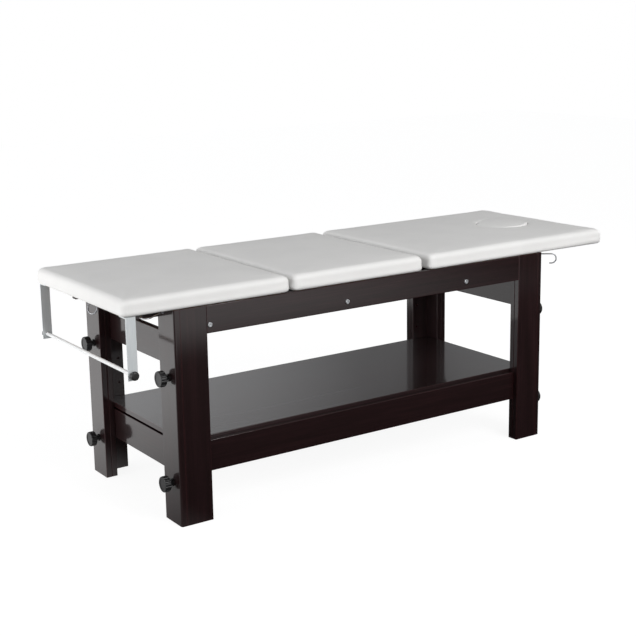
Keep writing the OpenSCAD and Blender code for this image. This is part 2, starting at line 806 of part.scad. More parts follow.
// Round caps on the rod's ends, outside the straps
module roll_caps() {
    color(black) for (far = [0, 1]) near_far(far)
        translate([foot_x + roll_x, -strap_y - strap_t - rest_gap, roll_z]) rotate([90, 0, 0]) difference() {
            union() {
                cylinder(d = collar_d, h = collar_l);
                translate([0, 0, collar_l]) rotate_extrude() {
                    square([cap_d / 2 - cap_round, cap_l]);
                    translate([0, cap_round]) square([cap_d / 2, cap_l - 2 * cap_round]);
                    for (z = [cap_round, cap_l - cap_round]) translate([cap_d / 2 - cap_round, z]) circle(cap_round);
                }
            }
            translate([0, 0, -overrun]) cylinder(d = roll_d + 2 * pin_gap, h = cap_bore + overrun);
        }
}

inner_post(0, 0);  // inner_post_foot_near
inner_post(0, 1);  // inner_post_foot_far
inner_post(1, 0);  // inner_post_head_near
inner_post(1, 1);  // inner_post_head_far
low_rail(0);  // low_rail_near
low_rail(1);  // low_rail_far
cross_rail(0, low_cross_z);  // low_cross_rail_foot
cross_rail(1, low_cross_z);  // low_cross_rail_head
cross_rail(0, high_cross_z);  // high_cross_rail_foot
cross_rail(1, high_cross_z);  // high_cross_rail_head
shelf_panel();
shelf_bearers();
cross_rail_screws();
low_rail_dowels();
outer_post(0, 0);  // outer_post_foot_near
outer_post(0, 1);  // outer_post_foot_far
outer_post(1, 0);  // outer_post_head_near
outer_post(1, 1);  // outer_post_head_far
top_rail(0);  // top_rail_near
top_rail(1);  // top_rail_far
cross_bar(bolt_xs[0], bar_h);  // cross_bar_foot
cross_bar(bolt_xs[1], seat_bar_h);  // cross_bar_seat
cross_bar(bolt_xs[2], bar_h);  // cross_bar_head
prop_bar();
rail_bolts();
barrel_nuts();
top_rail_dowels();
captive_nuts();
coat_hooks();
seat_board();
seat_pad();
seat_battens();
hinge_leaves(foot_hinge_x, 0, false);  // hinge_leaves_foot_fixed
hinge_leaves(head_hinge_x, 1, false);  // hinge_leaves_head_fixed
hinge_pins();
stay_brackets();
foot_board();
foot_pad();
foot_battens();
roll_strap(0);  // roll_strap_near
roll_strap(1);  // roll_strap_far
hinge_leaves(foot_hinge_x, 1, true);  // hinge_leaves_foot_moving
prop_brackets();
foot_prop();
head_board();
head_pad();
head_battens();
hinge_leaves(head_hinge_x, 0, true);  // hinge_leaves_head_moving
head_stay();
face_plug();
roll_rod();
roll_caps();
knob(0, 0, high_knob_z);  // knob_foot_near_high
knob(0, 0, low_knob_z);  // knob_foot_near_low
knob(0, 1, high_knob_z);  // knob_foot_far_high
knob(0, 1, low_knob_z);  // knob_foot_far_low
knob(1, 0, high_knob_z);  // knob_head_near_high
knob(1, 0, low_knob_z);  // knob_head_near_low
knob(1, 1, high_knob_z);  // knob_head_far_high
knob(1, 1, low_knob_z);  // knob_head_far_low
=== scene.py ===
"""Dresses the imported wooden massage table.

Its pads become cushions of leatherette over foam, and its boards, metal and knobs get the
finishes that the photograph shows.
"""

from __future__ import annotations

import json
import logging
import math
from collections.abc import Mapping, Sequence
from dataclasses import dataclass, field
from enum import Enum
from typing import Any

import bmesh
import bpy
import numpy as np
from mathutils import Matrix, Vector
from mathutils.kdtree import KDTree

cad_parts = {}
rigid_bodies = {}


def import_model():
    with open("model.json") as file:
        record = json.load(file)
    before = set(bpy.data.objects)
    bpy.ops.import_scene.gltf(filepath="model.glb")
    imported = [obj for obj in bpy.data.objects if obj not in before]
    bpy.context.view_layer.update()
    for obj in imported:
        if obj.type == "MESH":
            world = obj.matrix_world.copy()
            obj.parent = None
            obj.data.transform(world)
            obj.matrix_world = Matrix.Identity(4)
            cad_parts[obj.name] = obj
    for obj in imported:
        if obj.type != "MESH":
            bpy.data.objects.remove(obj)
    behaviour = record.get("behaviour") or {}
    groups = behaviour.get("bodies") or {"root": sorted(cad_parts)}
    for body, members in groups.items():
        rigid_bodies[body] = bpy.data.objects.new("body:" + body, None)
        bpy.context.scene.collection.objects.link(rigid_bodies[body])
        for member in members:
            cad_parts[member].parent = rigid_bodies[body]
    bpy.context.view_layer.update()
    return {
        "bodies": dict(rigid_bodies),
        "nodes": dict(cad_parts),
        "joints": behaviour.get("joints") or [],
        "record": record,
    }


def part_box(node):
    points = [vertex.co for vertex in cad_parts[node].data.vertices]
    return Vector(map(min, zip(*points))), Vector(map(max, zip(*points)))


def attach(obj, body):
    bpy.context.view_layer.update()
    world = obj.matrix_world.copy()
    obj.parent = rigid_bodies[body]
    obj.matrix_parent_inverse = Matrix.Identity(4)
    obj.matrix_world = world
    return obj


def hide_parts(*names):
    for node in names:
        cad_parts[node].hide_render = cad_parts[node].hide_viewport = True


LOG = logging.getLogger("massage_table")
MM = 0.001
TINY = 1e-9
# How far Blender's wave texture turns, in radians, for each unit of its scale.
WAVE_RADIANS = 20
WHITE = "#ffffff"
SMOOTH = "SMOOTHSTEP"
# The Mix node repeats its sockets' names for each kind of data, so these are their numbers.
MIX_FACTOR, MIX_VALUE_A, MIX_VALUE_B, MIX_COLOUR_A, MIX_COLOUR_B = 0, 2, 3, 6, 7
MIXED_VALUE, MIXED_COLOUR = 0, 2
ENDS = ("foot", "head")
CORNERS = tuple(f"{end}_{side}" for end in ENDS for side in ("near", "far"))

Point = tuple[float, float, float]
Colour = tuple[float, float, float, float]
Span = tuple[float, float]
Tones = tuple[tuple[float, str], ...]
Stops = Sequence[tuple[float, Colour]]
Frame = Mapping[str, Any]
SocketMap = Mapping[str | int, object]


def linear(colour: str) -> Colour:
    """Turns an sRGB hex colour to linear.

    Args:
        colour: six hex digits after a hash.

    Returns:
        Red, green, blue and an alpha of one.
    """
    parts = [int(colour[i : i + 2], 16) / 255 for i in (1, 3, 5)]
    red, green, blue = (
        part / 12.92 if part <= 0.04045 else ((part + 0.055) / 1.055) ** 2.4 for part in parts
    )
    return (red, green, blue, 1.0)


def linear_stops(tones: Tones) -> Stops:
    """Turns the hex colours of a ramp's stops to linear."""
    return [(place, linear(colour)) for place, colour in tones]


def add_node(
    tree: bpy.types.NodeTree,
    kind: str,
    inputs: SocketMap | None = None,
    stops: Stops = (),
    **settings: object,
) -> bpy.types.Node:
    """Adds one shader node.

    Args:
        tree: the node tree that takes it.
        kind: its type, without the prefix that all share.
        inputs: for each socket, a value or the output socket that feeds it.
        stops: for a colour ramp, its places and their colours, in order.
        settings: its own options.

    Returns:
        The new node.
    """
    node = tree.nodes.new(f"ShaderNode{kind}")
    for name, value in settings.items():
        setattr(node, name, value)
    for key, value in (inputs or {}).items():
        if isinstance(value, bpy.types.NodeSocket):
            tree.links.new(value, node.inputs[key])
        else:
            node.inputs[key].default_value = value
    if stops:
        elements = node.color_ramp.elements
        while len(elements) < len(stops):
            elements.new(1.0)
        for element, (place, colour) in zip(elements, stops):
            element.position = place
            element.color = colour
    return node


class Grain(Enum):
    """The axes of the table, first the one that a board's grain runs along."""

    ALONG_X = (0, 1, 2)
    ALONG_Y = (1, 0, 2)
    ALONG_Z = (2, 1, 0)


@dataclass(frozen=True)
class Finish:
    """A surface finish that builds its material once."""

    name: str

    def material(self) -> bpy.types.Material:
        """Builds the material, or finds it if it was built before.

        Returns:
            The material.
        """
        found = bpy.data.materials.get(self.name)
        if found is not None:
            return found
        made = bpy.data.materials.new(self.name)
        made.use_nodes = True
        tree = made.node_tree
        tree.nodes.clear()
        add_node(tree, "OutputMaterial", {"Surface": self.shade(tree)})
        return made

    def shade(self, tree: bpy.types.NodeTree) -> bpy.types.NodeSocket:
        """Builds the surface's nodes and returns the shader socket."""
        raise NotImplementedError


@dataclass(frozen=True)
class WengeLacquer(Finish):
    """Beech veneered board, stained wenge and sprayed with gloss polyurethane lacquer.

    The stain is almost black with a red brown undertone, which shows in streaks along the grain.
    Along the edges a redder colour is painted in, partly where the stain is worn thin and partly as
    a painted highlight of the rounded edges. The clear coat is smooth, so at a low angle it mirrors
    the pale room, with a slight orange peel.
    """

    grain: Grain = Grain.ALONG_X
    stain: Tones = ((0.36, "#190d0d"), (0.52, "#201112"), (0.66, "#281617"))
    # Worn edges and painted highlight: a redder colour painted along the rounded edges.
    rubbed_and_highlight: str = "#4a2022"
    rubbed_and_highlight_share: float = 0.55
    # The cosine of the turn of the rounded normal where the worn edge and its painted highlight
    # peak.
    rubbed_and_highlight_turn: float = 0.8
    edge_mm: float = 5.0
    streak_mm: float = 3.2
    streak_length_mm: float = 150.0
    figure_mm: float = 34.0
    figure_length_mm: float = 620.0
    figure_share: float = 0.42
    pore_mm: float = 0.9
    pore_length_mm: float = 16.0
    pore_depth_mm: float = 0.12
    peel_mm: float = 2.6
    peel_depth_mm: float = 0.04
    haze: Span = (0.34, 0.48)
    body_gloss: float = 0.1
    coat_roughness: float = 0.09
    ior: float = 1.5

    def stretched(
        self, tree: bpy.types.NodeTree, width_mm: float, length_mm: float
    ) -> bpy.types.NodeSocket:
        """Stretches the pattern's space along the grain.

        Args:
            tree: the material's node tree.
            width_mm: the size of a cell across the grain.
            length_mm: its size along the grain.

        Returns:
            Coordinates in which such a cell is one unit each way.
        """
        place = add_node(tree, "TexCoord").outputs["Object"]
        scale = [0.0, 0.0, 0.0]
        for k, axis in enumerate(self.grain.value):
            scale[axis] = 1 / ((length_mm if k == 0 else width_mm) * MM)
        return add_node(tree, "Mapping", {"Vector": place, "Scale": scale}).outputs["Vector"]

    def stained(
        self, tree: bpy.types.NodeTree, figure: bpy.types.NodeSocket
    ) -> bpy.types.NodeSocket:
        """Colours fine streaks and the broad figure with the stain.

        Args:
            tree: the material's node tree.
            figure: the broad figure.

        Returns:
            The colour.
        """
        streaks = add_node(
            tree,
            "TexNoise",
            {
                "Vector": self.stretched(tree, self.streak_mm, self.streak_length_mm),
                "Scale": 1.0,
                "Detail": 5.0,
                "Roughness": 0.62,
                "Distortion": 0.25,
            },
        ).outputs["Fac"]
        both = add_node(
            tree,
            "Mix",
            {MIX_FACTOR: self.figure_share, MIX_VALUE_A: streaks, MIX_VALUE_B: figure},
            data_type="FLOAT",
        ).outputs[MIXED_VALUE]
        return add_node(
            tree, "ValToRGB", {"Fac": both}, stops=linear_stops(self.stain)
        ).outputs["Color"]

    def rubbed_and_highlit_edges(
        self, tree: bpy.types.NodeTree, colour: bpy.types.NodeSocket
    ) -> bpy.types.NodeSocket:
        """Paints a redder colour along the edges, for worn stain and a painted highlight.

        Args:
            tree: the material's node tree.
            colour: the colour of the faces.

        Returns:
            The colour, with worn edges and their painted highlight.
        """
        flat = add_node(tree, "NewGeometry").outputs["True Normal"]
        rounded = add_node(
            tree, "Bevel", {"Radius": self.edge_mm * MM}, samples=4
        ).outputs["Normal"]
        alike = add_node(
            tree, "VectorMath", {0: flat, 1: rounded}, operation="DOT_PRODUCT"
        ).outputs["Value"]
        # Painted highlight and wear: the further the rounded normal turns from the flat one, the
        # redder.
        edge = add_node(
            tree,
            "MapRange",
            {
                "Value": alike,
                "From Min": 1.0,
                "From Max": self.rubbed_and_highlight_turn,
                "To Min": 0.0,
                "To Max": self.rubbed_and_highlight_share,
            },
            interpolation_type=SMOOTH,
        ).outputs["Result"]
        return add_node(
            tree,
            "Mix",
            {MIX_FACTOR: edge, MIX_COLOUR_A: colour, MIX_COLOUR_B: linear(self.rubbed_and_highlight)},
            data_type="RGBA",
        ).outputs[MIXED_COLOUR]

    def shade(self, tree: bpy.types.NodeTree) -> bpy.types.NodeSocket:
        """Builds the stained wood, its pores and the clear coat.

        Args:
            tree: the material's node tree.

        Returns:
            The shader socket.
        """
        figure = add_node(
            tree,
            "TexNoise",
            {
                "Vector": self.stretched(tree, self.figure_mm, self.figure_length_mm),
                "Scale": 1.0,
                "Detail": 2.0,
                "Roughness": 0.5,
                "Distortion": 0.9,
            },
        ).outputs["Fac"]
        colour = self.rubbed_and_highlit_edges(tree, self.stained(tree, figure))
        pores = add_node(
            tree,
            "TexNoise",
            {
                "Vector": self.stretched(tree, self.pore_mm, self.pore_length_mm),
                "Scale": 1.0,
                "Detail": 1.0,
            },
        ).outputs["Fac"]
        peel = add_node(
            tree,
            "TexNoise",
            {
                "Vector": add_node(tree, "TexCoord").outputs["Object"],
                "Scale": 1 / (self.peel_mm * MM),
                "Detail": 1.0,
            },
        ).outputs["Fac"]
        haze = add_node(
            tree, "MapRange", {"Value": figure, "To Min": self.haze[0], "To Max": self.haze[1]}
        ).outputs["Result"]
        body_bump = add_node(
            tree,
            "Bump",
            {"Height": pores, "Strength": 0.15, "Distance": self.pore_depth_mm * MM},
        ).outputs["Normal"]
        coat_bump = add_node(
            tree, "Bump", {"Height": peel, "Strength": 0.08, "Distance": self.peel_depth_mm * MM}
        ).outputs["Normal"]
        return add_node(
            tree,
            "BsdfPrincipled",
            {
                "Base Color": colour,
                "Roughness": haze,
                "IOR": self.ior,
                "Specular IOR Level": self.body_gloss,
                "Normal": body_bump,
                "Coat Weight": 1.0,
                "Coat Roughness": self.coat_roughness,
                "Coat IOR": self.ior,
                "Coat Normal": coat_bump,
            },
        ).outputs["BSDF"]


@dataclass(frozen=True)
class BirchPly(Finish):
    """Bare birch plywood, sanded, as the section boards are.

    Pale straw faces with a fine straight figure, and on a cut edge the plies show as light and dark
    lines. Plies of 1.5 mm are too fine to show, so a light and a dark one are drawn 9.4 mm wide.
    """

    straw: Tones = ((0.3, "#b98f62"), (0.5, "#cda678"), (0.7, "#dabb8f"))
    plies: Tones = ((0.4, "#8a6140"), (0.6, "#d0aa7c"))
    # One radian of the wave for each ply.
    ply_mm: float = 1.5
    streak_mm: float = 5.0
    streak_length_mm: float = 180.0
    relief_mm: float = 0.2
    roughness: float = 0.62
    ior: float = 1.48

    def shade(self, tree: bpy.types.NodeTree) -> bpy.types.NodeSocket:
        """Builds the figure of the faces and the plies of the edges.

        Args:
            tree: the material's node tree.

        Returns:
            The shader socket.
        """
        place = add_node(tree, "TexCoord").outputs["Object"]
        across = 1 / (self.streak_mm * MM)
        along = 1 / (self.streak_length_mm * MM)
        drawn_out = add_node(
            tree, "Mapping", {"Vector": place, "Scale": (along, across, across)}
        ).outputs["Vector"]
        figure = add_node(
            tree, "TexNoise", {"Vector": drawn_out, "Scale": 1.0, "Detail": 4.0}
        ).outputs["Fac"]
        face = add_node(
            tree, "ValToRGB", {"Fac": figure}, stops=linear_stops(self.straw)
        ).outputs["Color"]
        wave = add_node(
            tree,
            "TexWave",
            {
                "Vector": place,
                "Scale": 1 / (self.ply_mm * MM) / WAVE_RADIANS,
                "Distortion": 0.6,
                "Detail": 1.0,
            },
            bands_direction="Z",
        ).outputs["Fac"]
        edge = add_node(
            tree, "ValToRGB", {"Fac": wave}, stops=linear_stops(self.plies)
        ).outputs["Color"]
        up = add_node(
            tree, "SeparateXYZ", {"Vector": add_node(tree, "NewGeometry").outputs["Normal"]}
        ).outputs["Z"]
        flat = add_node(tree, "Math", {0: up}, operation="ABSOLUTE").outputs["Value"]
        colour = add_node(
            tree,
            "Mix",
            {MIX_FACTOR: flat, MIX_COLOUR_A: edge, MIX_COLOUR_B: face},
            data_type="RGBA",
        ).outputs[MIXED_COLOUR]
        bump = add_node(
            tree, "Bump", {"Height": figure, "Strength": 0.3, "Distance": self.relief_mm * MM}
        ).outputs["Normal"]
        return add_node(
            tree,
            "BsdfPrincipled",
            {
                "Base Color": colour,
                "Roughness": self.roughness,
                "IOR": self.ior,
                "Normal": bump,
            },
        ).outputs["BSDF"]


@dataclass(frozen=True)
class Leatherette(Finish):
    """PVC upholstery leatherette, calendered with a fine leather grain, over foam.

    Off white with a slight warm cast and a soft satin sheen. The grain's cells are about 1.4 mm on
    the real cloth, and are drawn at 2.2 mm so that they show.
    """

    cloth: Tones = ((0.35, "#ebeae8"), (0.6, "#eeedeb"))
    # Painted shade: a darker colour mixed into the creases between the grain's cells.
    painted_crease_shade: str = "#cfccc5"
    painted_crease_shade_share: float = 0.08
    # How wide the creases between the cells are, as a part of a cell.
    crease_width: float = 0.22
    satin: Span = (0.62, 0.5)
    cell_mm: float = 2.2
    cloud_mm: float = 130.0
    relief_mm: float = 0.12
    ior: float = 1.52

    def shade(self, tree: bpy.types.NodeTree) -> bpy.types.NodeSocket:
        """Builds the grain, a faint cloudiness and the satin surface.

        Args:
            tree: the material's node tree.

        Returns:
            The shader socket.
        """
        place = add_node(tree, "TexCoord").outputs["Object"]
        cells = add_node(
            tree,
            "TexVoronoi",
            {"Vector": place, "Scale": 1 / (self.cell_mm * MM), "Randomness": 0.95},
            feature="DISTANCE_TO_EDGE",
        ).outputs["Distance"]
        raised = add_node(
            tree,
            "MapRange",
            {"Value": cells, "From Max": self.crease_width},
            interpolation_type=SMOOTH,
        ).outputs["Result"]
        cloud = add_node(
            tree, "TexNoise", {"Vector": place, "Scale": 1 / (self.cloud_mm * MM), "Detail": 3.0}
        ).outputs["Fac"]
        tone = add_node(
            tree, "ValToRGB", {"Fac": cloud}, stops=linear_stops(self.cloth)
        ).outputs["Color"]
        # Painted shade in the creases: the nearer a point lies to a cell's edge, the more of the
        # darker colour.
        painted_crease_shade_mask = add_node(
            tree, "MapRange", {"Value": raised, "To Min": self.painted_crease_shade_share, "To Max": 0.0}
        ).outputs["Result"]
        colour = add_node(
            tree,
            "Mix",
            {MIX_FACTOR: painted_crease_shade_mask, MIX_COLOUR_A: tone, MIX_COLOUR_B: linear(self.painted_crease_shade)},
            data_type="RGBA",
        ).outputs[MIXED_COLOUR]
        satin = add_node(
            tree, "MapRange", {"Value": raised, "To Min": self.satin[0], "To Max": self.satin[1]}
        ).outputs["Result"]
        bump = add_node(
            tree, "Bump", {"Height": raised, "Strength": 0.22, "Distance": self.relief_mm * MM}
        ).outputs["Normal"]
        return add_node(
            tree,
            "BsdfPrincipled",
            {"Base Color": colour, "Roughness": satin, "IOR": self.ior, "Normal": bump},
        ).outputs["BSDF"]


@dataclass(frozen=True)
class PlatedSteel(Finish):
    """Zinc plated mild steel, as bolts, wire hooks, hinges and rods are.

    A cool grey metal with soft highlights and a faint mottle from the plating bath.
    """

    colour: str = "#d2d4d6"
    dull: str = "#bcbec1"
    mottled: Span = (0.35, 0.6)
    rough: Span = (0.22, 0.4)
    metallic: float = 0.75
    mottle_mm: float = 4.0

    def shade(self, tree: bpy.types.NodeTree) -> bpy.types.NodeSocket:
        """Builds the metal and its mottle.

        Args:
            tree: the material's node tree.

        Returns:
            The shader socket.
        """
        mottle = add_node(
            tree,
            "TexNoise",
            {
                "Vector": add_node(tree, "TexCoord").outputs["Object"],
                "Scale": 1 / (self.mottle_mm * MM),
                "Detail": 4.0,
            },
        ).outputs["Fac"]
        rough = add_node(
            tree, "MapRange", {"Value": mottle, "To Min": self.rough[0], "To Max": self.rough[1]}
        ).outputs["Result"]
        tones = ((self.mottled[0], self.dull), (self.mottled[1], self.colour))
        tint = add_node(
            tree, "ValToRGB", {"Fac": mottle}, stops=linear_stops(tones)
        ).outputs["Color"]
        return add_node(
            tree,
            "BsdfPrincipled",
            {"Base Color": tint, "Metallic": self.metallic, "Roughness": rough},
        ).outputs["BSDF"]


@dataclass(frozen=True)
class BrushedAluminium(Finish):
    """Flat aluminium bar, brushed along its length, with a thin clear anodised skin.

    Pale and cool, with fine lines down the strap that spread its highlights. The skin's own
    scatter keeps it well short of a bare mirror of the room.
    """

    tones: Tones = ((0.3, "#d0d5d7"), (0.7, "#e2e6e7"))
    rough: Span = (0.34, 0.5)
    metallic: float = 0.35
    line_mm: float = 0.7
    line_length_mm: float = 60.0
    relief_mm: float = 0.04

    def shade(self, tree: bpy.types.NodeTree) -> bpy.types.NodeSocket:
        """Builds the brushed lines.

        Args:
            tree: the material's node tree.

        Returns:
            The shader socket.
        """
        fine = 1 / (self.line_mm * MM)
        drawn_out = add_node(
            tree,
            "Mapping",
            {
                "Vector": add_node(tree, "TexCoord").outputs["Object"],
                "Scale": (fine, fine, 1 / (self.line_length_mm * MM)),
            },
        ).outputs["Vector"]
        lines = add_node(
            tree, "TexNoise", {"Vector": drawn_out, "Scale": 1.0, "Detail": 2.0}
        ).outputs["Fac"]
        rough = add_node(
            tree, "MapRange", {"Value": lines, "To Min": self.rough[0], "To Max": self.rough[1]}
        ).outputs["Result"]
        tint = add_node(
            tree, "ValToRGB", {"Fac": lines}, stops=linear_stops(self.tones)
        ).outputs["Color"]
        bump = add_node(
            tree, "Bump", {"Height": lines, "Strength": 0.15, "Distance": self.relief_mm * MM}
        ).outputs["Normal"]
        return add_node(
            tree,
            "BsdfPrincipled",
            {"Base Color": tint, "Metallic": self.metallic, "Roughness": rough, "Normal": bump},
        ).outputs["BSDF"]


@dataclass(frozen=True)
class WhitePowderCoat(Finish):
    """Polyester powder coat, white, baked on the roll rod: satin with a fine orange peel."""

    tones: Tones = ((0.3, "#eceded"), (0.7, "#f4f5f5"))
    peel_mm: float = 1.8
    peel_depth_mm: float = 0.06
    roughness: float = 0.36
    ior: float = 1.5

    def shade(self, tree: bpy.types.NodeTree) -> bpy.types.NodeSocket:
        """Builds the coat and its peel.

        Args:
            tree: the material's node tree.

        Returns:
            The shader socket.
        """
        peel = add_node(
            tree,
            "TexNoise",
            {
                "Vector": add_node(tree, "TexCoord").outputs["Object"],
                "Scale": 1 / (self.peel_mm * MM),
                "Detail": 1.0,
            },
        ).outputs["Fac"]
        tint = add_node(
            tree, "ValToRGB", {"Fac": peel}, stops=linear_stops(self.tones)
        ).outputs["Color"]
        bump = add_node(
            tree, "Bump", {"Height": peel, "Strength": 0.2, "Distance": self.peel_depth_mm * MM}
        ).outputs["Normal"]
        return add_node(
            tree,
            "BsdfPrincipled",
            {"Base Color": tint, "Roughness": self.roughness, "IOR": self.ior, "Normal": bump},
        ).outputs["BSDF"]


@dataclass(frozen=True)
class MouldedNylon(Finish):
    """Black glass filled nylon, injection moulded, as clamp knobs and end caps are.

    A satin black with the fine spark grain of its mould and lighter scuffs where hands turn it.
    """

    tones: Tones = ((0.45, "#141415"), (0.7, "#1d1d1f"))
    rough: Span = (0.36, 0.5)
    grit_mm: float = 0.9
    grit_depth_mm: float = 0.08
    scuff_mm: float = 14.0
    ior: float = 1.53

    def shade(self, tree: bpy.types.NodeTree) -> bpy.types.NodeSocket:
        """Builds the grain and scuffs.

        Args:
            tree: the material's node tree.

        Returns:
            The shader socket.
        """
        place = add_node(tree, "TexCoord").outputs["Object"]
        grit = add_node(
            tree, "TexNoise", {"Vector": place, "Scale": 1 / (self.grit_mm * MM), "Detail": 2.0}
        ).outputs["Fac"]
        scuff = add_node(
            tree, "TexNoise", {"Vector": place, "Scale": 1 / (self.scuff_mm * MM), "Detail": 3.0}
        ).outputs["Fac"]
        tint = add_node(
            tree, "ValToRGB", {"Fac": scuff}, stops=linear_stops(self.tones)
        ).outputs["Color"]
        rough = add_node(
            tree, "MapRange", {"Value": scuff, "To Min": self.rough[0], "To Max": self.rough[1]}
        ).outputs["Result"]
        bump = add_node(
            tree, "Bump", {"Height": grit, "Strength": 0.2, "Distance": self.grit_depth_mm * MM}
        ).outputs["Normal"]
        return add_node(
            tree,
            "BsdfPrincipled",
            {"Base Color": tint, "Roughness": rough, "IOR": self.ior, "Normal": bump},
        ).outputs["BSDF"]


VINYL = Leatherette("leatherette_off_white")
STEEL = PlatedSteel("steel_zinc_plated")
NYLON = MouldedNylon("nylon_black_moulded")
BIRCH = BirchPly("birch_ply_bare")
WOODS = {grain: WengeLacquer(f"wenge_lacquer_{grain.name.lower()}", grain) for grain in Grain}


def dress(frame: Frame, nodes: Sequence[str], finish: Finish) -> None:
    """Gives CAD nodes a finish.

    Args:
        frame: the loaded frame.
        nodes: the nodes' names.
        finish: what they get.
    """
    material = finish.material()
    for name in nodes:
        obj = frame["nodes"][name]
        if not obj.material_slots:
            obj.data.materials.append(material)
        for slot in obj.material_slots:
            slot.material = material
        LOG.info("dressed %s with %s", name, finish.name)


def dress_boards(
    frame: Frame,
    upright: Sequence[str] = (),
    lengthways: Sequence[str] = (),
    crossways: Sequence[str] = (),
) -> None:
    """Gives stained boards their lacquer, with the grain along each board.

    Args:
        frame: the loaded frame.
        upright: the nodes of boards that stand.
        lengthways: the nodes of boards that run along the table.
        crossways: the nodes of boards that run across it.
    """
    dress(frame, upright, WOODS[Grain.ALONG_Z])
    dress(frame, lengthways, WOODS[Grain.ALONG_X])
    dress(frame, crossways, WOODS[Grain.ALONG_Y])


def new_object(
    name: str, mesh: bpy.types.Mesh, finish: Finish, smooth: bool = True
) -> bpy.types.Object:
    """Makes an object in the scene.

    Args:
        name: its name.
        mesh: its mesh, in the table's frame.
        finish: its material.
        smooth: whether its faces are shaded smooth.

    Returns:
        The object.
    """
    obj = bpy.data.objects.new(name, mesh)
    bpy.context.scene.collection.objects.link(obj)
    mesh.materials.clear()
    mesh.materials.append(finish.material())
    mesh.polygons.foreach_set("use_smooth", [smooth] * len(mesh.polygons))
    LOG.info("made %s, %d faces", name, len(mesh.polygons))
    return obj


def coordinates(mesh: bpy.types.Mesh) -> np.ndarray:
    """Reads a mesh's points.

    Args:
        mesh: the mesh.

    Returns:
        A row of x, y and z for each point.
    """
    flat = np.zeros(len(mesh.vertices) * 3)
    mesh.vertices.foreach_get("co", flat)
    return flat.reshape(-1, 3)


def evaluated(obj: bpy.types.Object) -> bpy.types.Mesh:
    """Copies an object's mesh with its modifiers applied."""
    graph = bpy.context.evaluated_depsgraph_get()
    return bpy.data.meshes.new_from_object(obj.evaluated_get(graph))


